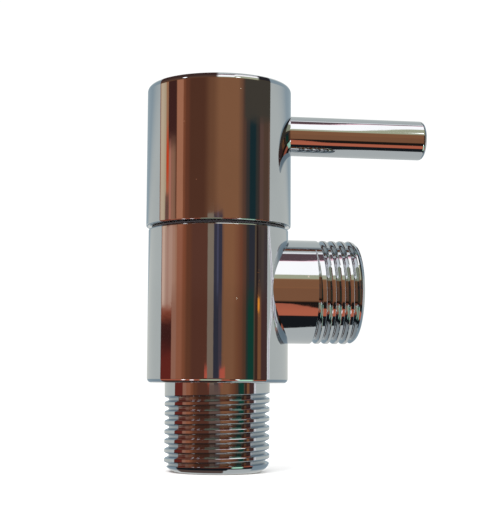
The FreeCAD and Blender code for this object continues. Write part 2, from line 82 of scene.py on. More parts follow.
def length(name, size, text):
    """A length in metres that shows in the scene's own unit."""
    return bpy.props.FloatProperty(
        name=name, description=text, default=size, min=0, unit="LENGTH", precision=5)


def amount(name, size, text):
    """A plain number."""
    return bpy.props.FloatProperty(name=name, description=text, default=size, precision=4)


def colour(name, rgb, text):
    """A colour, as light that the surface gives back."""
    return bpy.props.FloatVectorProperty(
        name=name, description=text, default=rgb, size=3, min=0, max=1, subtype="COLOR")


class ValveSizes(bpy.types.PropertyGroup):
    """Sizes of the chromed pieces."""

    sides: bpy.props.IntProperty(
        name="Sides", description="Sides of each round bar", default=288, min=24)
    barrel_d: length("Barrel diameter", 27.9 * MM, "Outside of the barrel")
    barrel_foot_z: length("Barrel foot", 17.4 * MM, "Height of the barrel's lower edge")
    foot_round: length("Foot round", 0.9 * MM, "Rounding of the barrel's lower edge")
    rim_round: length("Rim round", 0.3 * MM, "Rounding of the barrel's upper edge")
    mouth_d: length("Mouth diameter", 21.0 * MM, "Barrel's mouth at its chamfer")
    mouth_chamfer: length("Mouth chamfer", 0.5 * MM, "Chamfer of the barrel's mouth")
    socket_d: length("Socket diameter", 20.0 * MM, "Bore that the cartridge screws into")
    socket_depth: length("Socket depth", 7.0 * MM, "Depth of that bore")
    chamber_d: length("Chamber diameter", 18.4 * MM, "Chamber round the cartridge")
    seat_z: length("Seat height", 27.0 * MM, "Height of the cartridge's seat")
    seat_bore_d: length("Seat bore", 11.0 * MM, "Bore through the seat")
    outlet_bore_d: length("Outlet bore", 12.8 * MM, "Bore of the outlet branch")
    inlet_nose: length("Inlet nose", 2.4 * MM, "Length of the inlet's rounded end")
    inlet_nose_in: length("Inlet nose, inwards", 2.7 * MM, "Width of the inlet's rounded end")
    outlet_nose: length("Outlet nose", 1.7 * MM, "Length of the outlet's rounded end")
    outlet_nose_in: length("Outlet nose, inwards", 1.35 * MM, "Width of the outlet's rounded end")
    bore_round: length("Bore round", 0.3 * MM, "Rounding of a bore's edge")
    hub_d: length("Handle diameter", 28.9 * MM, "Outside of the round handle")
    hub_round: length("Handle round", 1.3 * MM, "Rounding of the handle's top edge")
    hub_edge: length("Handle edge", 0.3 * MM, "Rounding of the handle's lower edge")
    hub_wall: length("Handle wall", 2.45 * MM, "Wall of the handle's skirt")
    cavity_depth: length("Handle cavity", 12.0 * MM, "Depth of the hollow under the handle")
    boss_d: length("Boss diameter", 14.0 * MM, "Boss in that hollow")
    boss_drop: length("Boss drop", 2.9 * MM, "How far the boss hangs into the hollow")
    insert_d: length("Insert bore", 10.76 * MM, "Bore in the boss")
    insert_depth: length("Insert depth", 13.0 * MM, "Depth of that bore")
    lever_d: length("Lever diameter", 8.0 * MM, "Outside of the lever")
    lever_round: length("Lever round", 0.9 * MM, "Rounding of the lever's end")
    lever_gap: length("Lever gap", 0.05 * MM, "Play between the lever and its seat")
    stud_d: length("Stud diameter", 5.0 * MM, "Thread of the stud in the lever")
    stud_depth: length("Stud depth", 8.9 * MM, "Depth of the lever's tapped hole")
    grub_d: length("Grub screw diameter", 4.0 * MM, "Tapped hole behind the handle")
    cap_gap: length("Cap gap", 0.02 * MM, "Play round the cap that closes that hole")
    cap_depth: length("Cap depth", 1.6 * MM, "Thickness of that cap")


class ThreadSizes(bpy.types.PropertyGroup):
    """Form of the two half-inch pipe threads."""

    pitch: length("Pitch", 1.814 * MM, "Distance from ridge to ridge")
    depth: length("Depth", 0.90 * MM, "Depth of the groove")
    half_mouth: length("Half mouth", 0.607 * MM, "Half the groove's width at the crest")
    steps: bpy.props.IntProperty(
        name="Steps", description="Steps in one turn of a groove", default=120, min=12)
    inlet_top: length("Inlet groove", 15.04 * MM, "Height of the top groove on the outlet's side")
    inlet_turns: bpy.props.IntProperty(
        name="Inlet turns", description="Full turns of the inlet's groove", default=9, min=1)
    outlet_top: length("Outlet groove", 17.39 * MM, "Where the outlet's groove starts, below")
    outlet_turns: bpy.props.IntProperty(
        name="Outlet turns", description="Full turns of the outlet's groove", default=6, min=1)


class ValveFinish(bpy.types.PropertyGroup):
    """Colours and gloss of the finishes."""

    chrome: colour("Chrome", (0.52, 0.555, 0.59), "Plated surface")
    chrome_rough: amount("Chrome roughness", 0.035, "How soft the plating's reflections are")
    brass: colour("Brass", (0.62, 0.42, 0.16), "Turned cartridge parts")
    ceramic: colour("Ceramic", (0.86, 0.86, 0.82), "Lapped discs")
    rubber: colour("Rubber", (0.012, 0.012, 0.013), "Seals")
    white_plastic: colour("White plastic", (0.76, 0.76, 0.72), "Washer and support ring")
    dark_plastic: colour("Dark plastic", (0.012, 0.012, 0.014), "Glide ring")
    grey_plastic: colour("Grey plastic", (0.17, 0.18, 0.19), "Insert and silencer")
    steel: colour("Steel", (0.50, 0.51, 0.52), "Clip and screws")


class ValveStudio(bpy.types.PropertyGroup):
    """Camera, floor and lights."""

    camera_x: bpy.props.FloatProperty(
        name="Camera X", description="Camera's place along X", default=-34.0 * MM, unit="LENGTH")
    camera_y: bpy.props.FloatProperty(
        name="Camera Y", description="Camera's place along Y", default=-250.0 * MM, unit="LENGTH")
    camera_z: bpy.props.FloatProperty(
        name="Camera Z", description="Camera's height", default=18.4 * MM, unit="LENGTH")
    camera_yaw: amount("Camera yaw", -0.154, "Turn about the vertical, in radians")
    camera_pitch: amount("Camera pitch", 0.092, "Upward tilt, in radians")
    camera_roll: amount("Camera roll", 0.006, "Turn about the view line, in radians")
    lens: amount("Lens", 87.38, "Focal length in millimetres on a 36 mm frame")
    floor: colour("Floor", (0.985, 0.985, 0.985), "Plain pale floor")
    floor_size: length("Floor size", 6.0, "Width of the floor")
    dome_size: length("Dome size", 20.0, "Radius of the mirrored studio")


# Hand tools

def let_go():
    """Leaves edit mode and deselects everything."""
    if bpy.context.mode != "OBJECT":
        bpy.ops.object.mode_set(mode="OBJECT")
    bpy.ops.object.select_all(action="DESELECT")


def take(piece):
    """Makes a piece the only selected one."""
    let_go()
    piece.select_set(True)
    bpy.context.view_layer.objects.active = piece


def seat(piece):
    """Puts a piece's place into its mesh."""
    take(piece)
    bpy.ops.object.transform_apply(location=True, rotation=True, scale=True)


def start_bar(name, radius, low, high, sides):
    """Starts a piece as a round bar about Z."""
    let_go()
    bpy.ops.mesh.primitive_cylinder_add(
        vertices=sides, radius=radius, depth=high - low, end_fill_type="NGON",
        location=(0, 0, (low + high) / 2))
    bar = bpy.context.active_object
    bar.name = name
    seat(bar)
    return bar


def pick_cap(piece, height):
    """In edit mode, selects the flat cap at a height."""
    if bpy.context.mode != "EDIT_MESH":
        take(piece)
        bpy.ops.object.mode_set(mode="EDIT")
    bpy.context.tool_settings.mesh_select_mode = (False, False, True)
    bpy.ops.mesh.select_all(action="DESELECT")
    mesh = bmesh.from_edit_mesh(piece.data)
    caps = [f for f in mesh.faces
            if len(f.verts) > 8 and abs(f.calc_center_median().z - height) < HEIGHT_SLACK]
    if not caps:
        raise RuntimeError(f"{piece.name} has no cap at {height / MM:.2f} mm")
    for cap in caps:
        cap.select_set(True)
    bmesh.update_edit_mesh(piece.data)


def step_in(by):
    """Narrows the selected cap."""
    bpy.ops.mesh.inset(thickness=by, use_even_offset=True)


def push(by, narrow=1.0):
    """Draws the selected cap out along Z, and narrows it by a share."""
    bpy.ops.mesh.extrude_region_move(TRANSFORM_OT_translate={"value": (0, 0, by)})
    if narrow != 1.0:
        bpy.ops.transform.resize(
            value=(narrow, narrow, 1), center_override=(0, 0, 0))


def round_over(radius, towards, long, wide, steps=10):
    """Draws the selected cap out over a rounded end, as a quarter of an ellipse."""
    now, reach = radius, 0.0
    for k in range(1, steps + 1):
        turn = QUARTER * k / steps
        then = radius - wide * (1 - math.cos(turn))
        go = long * math.sin(turn)
        push(towards * (go - reach), then / now)
        now, reach = then, go
    return now


def soften_rim(piece, centre, radius, by, steps=4, axis=(0, 0, 1)):
    """Rounds the circular edge about a centre."""
    if bpy.context.mode != "EDIT_MESH":
        take(piece)
        bpy.ops.object.mode_set(mode="EDIT")
    centre, axis = Vector(centre), Vector(axis)
    bpy.context.tool_settings.mesh_select_mode = (False, True, False)
    bpy.ops.mesh.select_all(action="DESELECT")
    mesh = bmesh.from_edit_mesh(piece.data)

    def on_rim(corner):
        arm = corner.co - centre
        along = arm.dot(axis)
        return abs(along) < HEIGHT_SLACK and abs((arm - along * axis).length - radius) < RADIUS_SLACK

    rim = [edge for edge in mesh.edges if all(on_rim(corner) for corner in edge.verts)]
    if not rim:
        raise RuntimeError(f"{piece.name} has no edge of radius {radius / MM:.2f} mm at {centre}")
    for edge in rim:
        edge.select_set(True)
    bmesh.update_edit_mesh(piece.data)
    bpy.ops.mesh.bevel(offset=by, segments=steps, affect="EDGES")


def stand_on(piece, axis, place):
    """Turns a piece from Z to its own axis and moves it to its place."""
    let_go()
    piece.matrix_world = Matrix.Translation(place) @ ABOUT[axis]
    seat(piece)


def work(piece, tool, way):
    """Joins a tool to a piece, cuts it away or keeps what they share, and puts the tool aside."""
    take(piece)
    change = piece.modifiers.new(way, "BOOLEAN")
    change.operation = way
    change.solver = "EXACT"
    change.object = tool
    bpy.ops.object.modifier_apply(modifier=change.name)
    bpy.data.objects.remove(tool)


def smooth(piece, angle=math.radians(28)):
    """Shades a piece round, with its real edges sharp."""
    take(piece)
    bpy.ops.object.shade_smooth_by_angle(angle=angle)


def true_round(piece, barrels):
    """Gives each round wall its exact normals. A barrel is a point, an axis and a radius."""
    mesh = piece.data
    normals = [Vector(n.vector) for n in mesh.corner_normals]
    for face in mesh.polygons:
        for point, axis, radius in barrels:
            arm = face.center - point
            arm -= arm.dot(axis) * axis
            if abs(arm.length - radius) > RADIUS_SLACK or arm.normalized().dot(face.normal) < 0.999:
                continue
            for corner in face.loop_indices:
                out = mesh.vertices[mesh.loops[corner].vertex_index].co - point
                out -= out.dot(axis) * axis
                if abs(out.length - radius) < RADIUS_SLACK:
                    normals[corner] = out.normalized()
            break
    mesh.normals_split_custom_set(normals)


def check_closed(piece):
    """Stops the script if a piece has an open edge."""
    mesh = bmesh.new()
    mesh.from_mesh(piece.data)
    loose = sum(1 for e in mesh.edges if len(e.link_faces) != 2)
    mesh.free()
    if loose:
        raise RuntimeError(f"{piece.name} has {loose} open edges")


def groove_cutter(name, start, turns, sizes, fade_in=None, fade_out=None):
    """A helical cutter about Z that starts on the +X side at a height and winds upwards.

    Over fade_in, in turns from the start, it goes into the metal, and over fade_out out again.
    """
    half = sizes.half_mouth
    depth = sizes.depth
    section = [
        (0.10 * depth, 1.30 * half), (0.0, 1.06 * half), (-0.08 * depth, 0.88 * half),
        (-0.20 * depth, 0.74 * half), (-0.72 * depth, 0.38 * half), (-0.88 * depth, 0.25 * half),
        (-0.97 * depth, 0.12 * half), (-depth, 0.0),
    ]
    section += [(out, -aside) for out, aside in reversed(section[:-1])]
    let_go()
    bpy.ops.mesh.primitive_circle_add(vertices=len(section), fill_type="NOTHING")
    cutter = bpy.context.active_object
    cutter.name = name
    for corner, (out, aside) in zip(cutter.data.vertices, section):
        corner.co = (THREAD_R + out, 0, start + aside)
    steps = round(turns * sizes.steps)
    sweep = cutter.modifiers.new("helix", "SCREW")
    sweep.axis = "Z"
    sweep.angle = FULL_TURN * turns
    sweep.screw_offset = sizes.pitch * turns
    sweep.iterations = 1
    sweep.steps = steps
    sweep.render_steps = steps
    sweep.use_merge_vertices = False
    bpy.ops.object.modifier_apply(modifier=sweep.name)
    for corner in cutter.data.vertices:
        turn = (corner.index // len(section)) * turns / steps
        out = 1 - ease(turn, *fade_in) if fade_in else 0
        out += ease(turn, *fade_out) if fade_out else 0
        corner.co.xy *= 1 + 1.2 * depth * out / corner.co.xy.length
    take(cutter)
    bpy.ops.object.mode_set(mode="EDIT")
    bpy.context.tool_settings.mesh_select_mode = (True, False, False)
    bpy.ops.mesh.select_all(action="SELECT")
    bpy.ops.mesh.fill_holes(sides=0)
    bpy.ops.mesh.select_all(action="SELECT")
    bpy.ops.mesh.normals_make_consistent(inside=False)
    let_go()
    return cutter


def ease(value, low, high):
    """Goes softly from 0 to 1 between two values."""
    share = min(max((value - low) / (high - low), 0), 1)
    return share * share * (3 - 2 * share)


def plate(piece, name, body):
    """Gives a finished piece its chrome and its place in the valve, and hides the solid it replaces."""
    piece.data.materials.clear()
    piece.data.materials.append(bpy.data.materials["chrome_plate"])
    if name:
        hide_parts(name)
    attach(piece, body)


# Materials

def math_node(tree, how, first, second=None, third=None, clamp=False):
    """A Math node; each input is a number or a socket."""
    node = tree.nodes.new("ShaderNodeMath")
    node.operation = how
    node.use_clamp = clamp
    for k, value in enumerate((first, second, third)):
        if value is None:
            continue
        if isinstance(value, (int, float)):
            node.inputs[k].default_value = value
        else:
            tree.links.new(value, node.inputs[k])
    return node.outputs[0]


def smooth_step(tree, value, low, high):
    """A mask from 0 to 1 as a value goes from low to high."""
    node = tree.nodes.new("ShaderNodeMapRange")
    node.interpolation_type = "SMOOTHSTEP"
    node.inputs["From Min"].default_value = low
    node.inputs["From Max"].default_value = high
    tree.links.new(value, node.inputs["Value"])
    return node.outputs["Result"]


def mixed(tree, mask, first, second):
    """Mixes two colours by a mask; each is a colour or a socket."""
    node = tree.nodes.new("ShaderNodeMix")
    node.data_type = "RGBA"
    sockets = [s for s in node.inputs if s.type == "RGBA"]
    for socket, value in zip(sockets, (first, second)):
        if isinstance(value, (tuple, list)):
            socket.default_value = (*value[:3], 1)
        else:
            tree.links.new(value, socket)
    tree.links.new(mask, node.inputs[0])
    return [s for s in node.outputs if s.type == "RGBA"][0]


def noise(tree, place, scale, detail=3.0, rough=0.5):
    """Noise on a place, in marks for each metre."""
    node = tree.nodes.new("ShaderNodeTexNoise")
    node.inputs["Scale"].default_value = scale
    node.inputs["Detail"].default_value = detail
    node.inputs["Roughness"].default_value = rough
    tree.links.new(place, node.inputs["Vector"])
    return node.outputs["Fac"]


def stretched(tree, place, scale):
    """Scales a place along each axis."""
    node = tree.nodes.new("ShaderNodeMapping")
    node.inputs["Scale"].default_value = scale
    tree.links.new(place, node.inputs["Vector"])
    return node.outputs["Vector"]


def object_place(tree):
    """Where a point is on the piece."""
    return tree.nodes.new("ShaderNodeTexCoord").outputs["Object"]


def new_group(name, inputs, outputs):
    """An empty node group with named number inputs and outputs."""
    group = bpy.data.node_groups.new(name, "ShaderNodeTree")
    group.interface.new_socket("Place", in_out="INPUT", socket_type="NodeSocketVector")
    for label, value in inputs.items():
        socket = group.interface.new_socket(label, in_out="INPUT", socket_type="NodeSocketFloat")
        socket.default_value = value
    for label in outputs:
        group.interface.new_socket(label, in_out="OUTPUT", socket_type="NodeSocketFloat")
    return group, group.nodes.new("NodeGroupInput").outputs, group.nodes.new("NodeGroupOutput").inputs


def handling_marks():
    """Fine scratches, specks and smears that any handled piece has."""
    group, given, out = new_group(
        "handling_marks", {"Scratches": 1.0, "Specks": 1.0},
        ("Scratch", "Speck", "Smear", "Height"))
    place = given["Place"]
    lines = noise(group, stretched(group, place, (500, 500, 5200)), 1.0, 2.0)
    slanted = noise(group, stretched(group, place, (3600, 420, 900)), 1.0, 2.0)
    hair = smooth_step(group, lines, 0.70, 0.78)
    slant = smooth_step(group, slanted, 0.71, 0.79)
    where = smooth_step(group, noise(group, place, 90.0, 2.0), 0.52, 0.66)
    scratch = math_node(group, "MULTIPLY", math_node(group, "MAXIMUM", hair, slant), where)
    scratch = math_node(group, "MULTIPLY", scratch, given["Scratches"], clamp=True)
    cell = group.nodes.new("ShaderNodeTexVoronoi")
    cell.inputs["Scale"].default_value = 260.0
    group.links.new(place, cell.inputs["Vector"])
    dot = math_node(group, "SUBTRACT", 1.0, smooth_step(group, cell.outputs["Distance"], 0.03, 0.06))
    apart = math_node(group, "GREATER_THAN", noise(group, place, 190.0, 0.0), 0.55)
    speck = math_node(group, "MULTIPLY", math_node(group, "MULTIPLY", dot, apart), given["Specks"])
    smear = smooth_step(group, noise(group, place, 60.0, 4.0, 0.6), 0.40, 0.72)
    height = math_node(group, "SUBTRACT", speck, scratch)
    for label, value in (("Scratch", scratch), ("Speck", speck), ("Smear", smear), ("Height", height)):
        group.links.new(value, out[label])
    return group


def turning_marks():
    """Fine rings that a lathe leaves round Z, and a grain."""
    group, given, out = new_group("turning_marks", {"Rings": 9000.0, "Grain": 2500.0}, ("Ring", "Grain"))
    place = given["Place"]
    parts = group.nodes.new("ShaderNodeSeparateXYZ")
    group.links.new(place, parts.inputs[0])
    phase = math_node(group, "MULTIPLY", parts.outputs[2], given["Rings"])
    ring = math_node(group, "SINE", math_node(group, "ADD", phase, noise(group, place, 300.0, 1.0)))
    ring = math_node(group, "MULTIPLY_ADD", ring, 0.5, 0.5)
    grain = group.nodes.new("ShaderNodeTexNoise")
    group.links.new(place, grain.inputs["Vector"])
    group.links.new(given["Grain"], grain.inputs["Scale"])
    group.links.new(ring, out["Ring"])
    group.links.new(grain.outputs["Fac"], out["Grain"])
    return group


def start_material(name):
    """A material with its tree and its Principled shader."""
    material = bpy.data.materials.new(name)
    material.use_nodes = True
    tree = material.node_tree
    return material, tree, tree.nodes["Principled BSDF"]


def group_node(tree, group, place, **values):
    """Puts a shared effect in a material."""
    node = tree.nodes.new("ShaderNodeGroup")
    node.node_tree = group
    tree.links.new(place, node.inputs["Place"])
    for label, value in values.items():
        node.inputs[label].default_value = value
    return node.outputs


def bump(tree, shader, height, deep, strength=1.0):
    """Raises a height on the surface."""
    node = tree.nodes.new("ShaderNodeBump")
    node.inputs["Strength"].default_value = strength
    node.inputs["Distance"].default_value = deep
    tree.links.new(height, node.inputs["Height"])
    tree.links.new(node.outputs["Normal"], shader.inputs["Normal"])


def chrome_material(finish, marks):
    """Bright nickel-chrome plate over polished brass, with faint handling marks."""
    material, tree, shader = start_material("chrome_plate")
    place = object_place(tree)
    worn = group_node(tree, marks, place, Scratches=0.8, Specks=0.9)
    tint = mixed(tree, worn["Smear"], finish.chrome[:], tuple(c * 0.96 for c in finish.chrome))
    tint = mixed(tree, worn["Speck"], tint, (0.8, 0.78, 0.72))
    rough = math_node(tree, "MULTIPLY_ADD", worn["Smear"], 0.014, finish.chrome_rough)
    rough = math_node(tree, "MULTIPLY_ADD", worn["Scratch"], 0.10, rough)
    rough = math_node(tree, "MULTIPLY_ADD", worn["Speck"], 0.45, rough)
    tree.links.new(tint, shader.inputs["Base Color"])
    tree.links.new(rough, shader.inputs["Roughness"])
    shader.inputs["Metallic"].default_value = 1.0
    ripple = noise(tree, place, 230.0, 2.0)
    height = math_node(tree, "MULTIPLY_ADD", worn["Height"], 0.10, ripple)
    bump(tree, shader, height, 0.006 * MM)
    return material


def turned_metal(name, rgb, marks, rings, roughness):
    """Turned metal with lathe rings and a little tarnish."""
    material, tree, shader = start_material(name)
    place = object_place(tree)
    lathe = group_node(tree, rings, place)
    worn = group_node(tree, marks, place, Scratches=0.6, Specks=0.3)
    tint = mixed(tree, worn["Smear"], tuple(rgb), tuple(c * 0.72 for c in rgb))
    tree.links.new(tint, shader.inputs["Base Color"])
    rough = math_node(tree, "MULTIPLY_ADD", worn["Smear"], 0.12, roughness)
    tree.links.new(math_node(tree, "MULTIPLY_ADD", lathe["Grain"], 0.05, rough), shader.inputs["Roughness"])
    shader.inputs["Metallic"].default_value = 1.0
    bump(tree, shader, lathe["Ring"], 0.01 * MM)
    return material


def moulded(name, rgb, marks, rings, roughness, grain, deep, gloss=0.5):
    """Moulded or pressed stuff with a fine grain: plastic, rubber or ceramic."""
    material, tree, shader = start_material(name)
    place = object_place(tree)
    skin = group_node(tree, rings, place, Grain=grain)
    worn = group_node(tree, marks, place, Scratches=0.5, Specks=0.3)
    pale = tuple(min(c * 1.25 + 0.006, 1.0) for c in rgb)
    tint = mixed(tree, worn["Smear"], tuple(rgb), pale)
    tree.links.new(mixed(tree, worn["Scratch"], tint, pale), shader.inputs["Base Color"])
    rough = math_node(tree, "MULTIPLY_ADD", skin["Grain"], 0.12, roughness)
    tree.links.new(rough, shader.inputs["Roughness"])
    shader.inputs["Specular IOR Level"].default_value = gloss
    bump(tree, shader, skin["Grain"], deep)
    return material


# Operators

class ANGLEVALVE_OT_finishes(bpy.types.Operator):
    """Mixes the finishes that the pieces share"""

    bl_idname = "angle_valve.finishes"
    bl_label = "Mix finishes"

    def execute(self, context):
        finish = context.scene.valve_finish
        marks = handling_marks()
        rings = turning_marks()
        chrome_material(finish, marks)
        turned_metal("cartridge_brass", finish.brass, marks, rings, 0.22)
        turned_metal("spring_steel", finish.steel, marks, rings, 0.26)
        turned_metal("screw_steel", finish.steel, marks, rings, 0.34)
        moulded("lapped_ceramic", finish.ceramic, marks, rings, 0.12, 5200.0, 0.002 * MM)
        moulded("seal_rubber", finish.rubber, marks, rings, 0.52, 3600.0, 0.02 * MM, 0.35)
        moulded("white_plastic", finish.white_plastic, marks, rings, 0.34, 2600.0, 0.008 * MM)
        moulded("dark_plastic", finish.dark_plastic, marks, rings, 0.36, 2600.0, 0.008 * MM)
        moulded("grey_plastic", finish.grey_plastic, marks, rings, 0.38, 2600.0, 0.008 * MM)
        return {"FINISHED"}


class ANGLEVALVE_OT_forging(bpy.types.Operator):
    """Models the chromed forging: barrel, inlet and outlet with their threads and bores"""

    bl_idname = "angle_valve.forging"
    bl_label = "Model forging"

    def execute(self, context):
        s = context.scene.valve_sizes
        t = context.scene.valve_thread
        body = self.outside(s)
        work(body, self.branch(s), "UNION")
        work(body, self.waterway(s), "DIFFERENCE")
        drill = start_bar("outlet_drill", s.outlet_bore_d / 2, 0, BODY_HIGH.x + MM, s.sides)
        stand_on(drill, "X", (0, 0, OUTLET_Z))
        work(body, drill, "DIFFERENCE")
        low = t.inlet_top - t.inlet_turns * t.pitch
        whole = t.inlet_turns + 0.23
        die = groove_cutter("inlet_die", low, whole, t, fade_out=(t.inlet_turns + 0.04, whole))
        work(body, die, "DIFFERENCE")
        die = groove_cutter("outlet_die", t.outlet_top, t.outlet_turns + 0.4, t, fade_in=(0.5, 0.9))
        stand_on(die, "X", (0, 0, OUTLET_Z))
        work(body, die, "DIFFERENCE")
        soften_rim(body, (0, 0, 0), INLET_BORE_R, s.bore_round)
        soften_rim(body, (BODY_HIGH.x, 0, OUTLET_Z), s.outlet_bore_d / 2, s.bore_round, 4, (1, 0, 0))
        smooth(body)
        true_round(body, [
            (Vector(), Vector((0, 0, 1)), s.barrel_d / 2),
            (Vector(), Vector((0, 0, 1)), THREAD_R),
            (Vector((0, 0, OUTLET_Z)), Vector((1, 0, 0)), THREAD_R),
        ])
        check_closed(body)
        plate(body, "valve_body", "valve")
        return {"FINISHED"}

    @staticmethod
    def outside(s):
        """Barrel and inlet spigot, still solid."""
        body = start_bar("forged_body", s.barrel_d / 2, s.barrel_foot_z, BODY_HIGH.z, s.sides)
        pick_cap(body, s.barrel_foot_z)
        step_in(s.barrel_d / 2 - THREAD_R)
        push(s.inlet_nose - s.barrel_foot_z)
        round_over(THREAD_R, -1, s.inlet_nose, s.inlet_nose_in)
        soften_rim(body, (0, 0, s.barrel_foot_z), s.barrel_d / 2, s.foot_round, 8)
        soften_rim(body, (0, 0, BODY_HIGH.z), s.barrel_d / 2, s.rim_round)
        let_go()
        return body

    @staticmethod
    def branch(s):
        """The outlet branch, still solid."""
        start = 4 * MM
        branch = start_bar(
            "outlet_branch", THREAD_R, start, BODY_HIGH.x - s.outlet_nose, s.sides)
        pick_cap(branch, BODY_HIGH.x - s.outlet_nose)
        round_over(THREAD_R, 1, s.outlet_nose, s.outlet_nose_in)
        let_go()
        stand_on(branch, "X", (0, 0, OUTLET_Z))
        return branch

    @staticmethod
    def waterway(s):
        """What the drills take out: inlet bore, seat, chamber and mouth."""
        over = MM
        bores = start_bar("bores", INLET_BORE_R, -over, INLET_BORE_DEPTH, s.sides)
        pick_cap(bores, INLET_BORE_DEPTH)
        step_in(INLET_BORE_R - s.seat_bore_d / 2)
        push(s.seat_z - INLET_BORE_DEPTH)
        widen = [
            (s.chamber_d / 2, BODY_HIGH.z - s.socket_depth),
            (s.socket_d / 2, BODY_HIGH.z - s.mouth_chamfer),
        ]
        radius, height = s.seat_bore_d / 2, s.seat_z
        for wide, top in widen:
            push(0, wide / radius)
            push(top - height)
            radius, height = wide, top
        push(s.mouth_chamfer, s.mouth_d / 2 / radius)
        push(over)
        let_go()
        return bores


class ANGLEVALVE_OT_handle(bpy.types.Operator):
    """Models the round handle with its hollow, lever seat and tapped hole"""

    bl_idname = "angle_valve.handle"
    bl_label = "Model handle"

    def execute(self, context):
        s = context.scene.valve_sizes
        radius = s.hub_d / 2
        hub = start_bar("round_handle", radius, HUB_LOW.z, HUB_HIGH.z, s.sides)
        pick_cap(hub, HUB_LOW.z)
        step_in(s.hub_wall)
        push(s.cavity_depth)
        step_in(radius - s.hub_wall - s.boss_d / 2)
        push(-s.boss_drop)
        step_in((s.boss_d - s.insert_d) / 2)
        push(s.insert_depth)
        soften_rim(hub, (0, 0, HUB_HIGH.z), radius, s.hub_round, 12)
        soften_rim(hub, (0, 0, HUB_LOW.z), radius, s.hub_edge)
        let_go()
        pocket = start_bar(
            "lever_pocket", s.lever_d / 2 + s.lever_gap, LEVER_LOW.x, radius + MM, s.sides // 2)
        stand_on(pocket, "X", (0, 0, LEVER_Z))
        work(hub, pocket, "DIFFERENCE")
        tap = start_bar("grub_tap", s.grub_d / 2, -radius - MM, -s.insert_d / 4, s.sides // 4)
        stand_on(tap, "X", (0, 0, SCREW_Z))
        work(hub, tap, "DIFFERENCE")
        smooth(hub)
        true_round(hub, [(Vector(), Vector((0, 0, 1)), radius)])
        check_closed(hub)
        plate(hub, "handle_hub", "handle")
        cap = start_bar(
            "grub_cap", s.grub_d / 2 - s.cap_gap, -radius - MM, s.cap_depth - radius, s.sides // 4)
        stand_on(cap, "X", (0, 0, SCREW_Z))
        work(cap, start_bar("turning", radius, HUB_LOW.z, HUB_HIGH.z, s.sides), "INTERSECT")
        smooth(cap)
        true_round(cap, [(Vector(), Vector((0, 0, 1)), radius)])
        check_closed(cap)
        plate(cap, None, "handle")
        return {"FINISHED"}


class ANGLEVALVE_OT_lever(bpy.types.Operator):
    """Models the lever rod with its rounded end and tapped hole"""

    bl_idname = "angle_valve.lever"
    bl_label = "Model lever"

    def execute(self, context):
        s = context.scene.valve_sizes
        radius = s.lever_d / 2
        rod = start_bar("lever_pin", radius, LEVER_LOW.x, LEVER_HIGH.x, s.sides)
        pick_cap(rod, LEVER_LOW.x)
        step_in(radius - s.stud_d / 2)
        push(s.stud_depth)
        soften_rim(rod, (0, 0, LEVER_HIGH.x), radius, s.lever_round, 10)
        let_go()
        stand_on(rod, "X", (0, 0, LEVER_Z))
        smooth(rod)
        true_round(rod, [(Vector((0, 0, LEVER_Z)), Vector((1, 0, 0)), radius)])
        check_closed(rod)
        plate(rod, "lever_rod", "handle")
        return {"FINISHED"}


CARRIED_OVER = {
    "cartridge_brass": ("cartridge_housing", "spindle", "stop_washer"),
    "lapped_ceramic": ("fixed_disc", "drive_disc"),
    "seal_rubber": ("housing_gasket", "seat_seal", "spindle_o_ring_lower", "spindle_o_ring_upper"),
    "white_plastic": ("seal_support_ring", "thrust_washer"),
    "dark_plastic": ("glide_ring",),
    "grey_plastic": ("flow_silencer", "spline_insert"),
    "spring_steel": ("retaining_clip",),
    "screw_steel": ("lever_stud", "grub_screw"),
}


class ANGLEVALVE_OT_cartridge(bpy.types.Operator):
    """Gives the cartridge, seals and screws their finishes"""

    bl_idname = "angle_valve.cartridge"
    bl_label = "Finish cartridge"

    def execute(self, context):
        for finish, names in CARRIED_OVER.items():
            for name in names:
                piece = frame["nodes"][name]
                if not piece.material_slots:
                    piece.data.materials.append(None)
                for slot in piece.material_slots:
                    slot.material = bpy.data.materials[finish]
        return {"FINISHED"}


# Mirrored room: bands by side and tilt in degrees, and by height in millimetres

def stage_card(card):
    """Sets a piece of the studio to be seen in the plating alone."""
    card.visible_camera = False
    card.visible_diffuse = False
    card.visible_shadow = False
    card.visible_transmission = False


def shown(code):
    """The light that a screen colour stands for."""
    parts = [int(code[k:k + 2], 16) / 255 for k in (0, 2, 4)]
    return tuple(p / 12.92 if p <= 0.04045 else ((p + 0.055) / 1.055) ** 2.4 for p in parts)


def bands(tree, value, soft, edges):
    """Bands of colour along a value.

    An edge is where a band starts, its screen colour and, where it isn't the usual one, its
    softness.
    """
    light = shown(edges[0][1])
    for at, code, *own in edges[1:]:
        wide = own[0] if own else soft
        light = mixed(tree, smooth_step(tree, value, at - wide, at + wide), light, shown(code))
    return light


def window(tree, value, low, high, soft):
    """A mask that is 1 between two values."""
    return math_node(
        tree, "MULTIPLY", smooth_step(tree, value, low - soft, low + soft),
        smooth_step(tree, value, high + soft, high - soft))


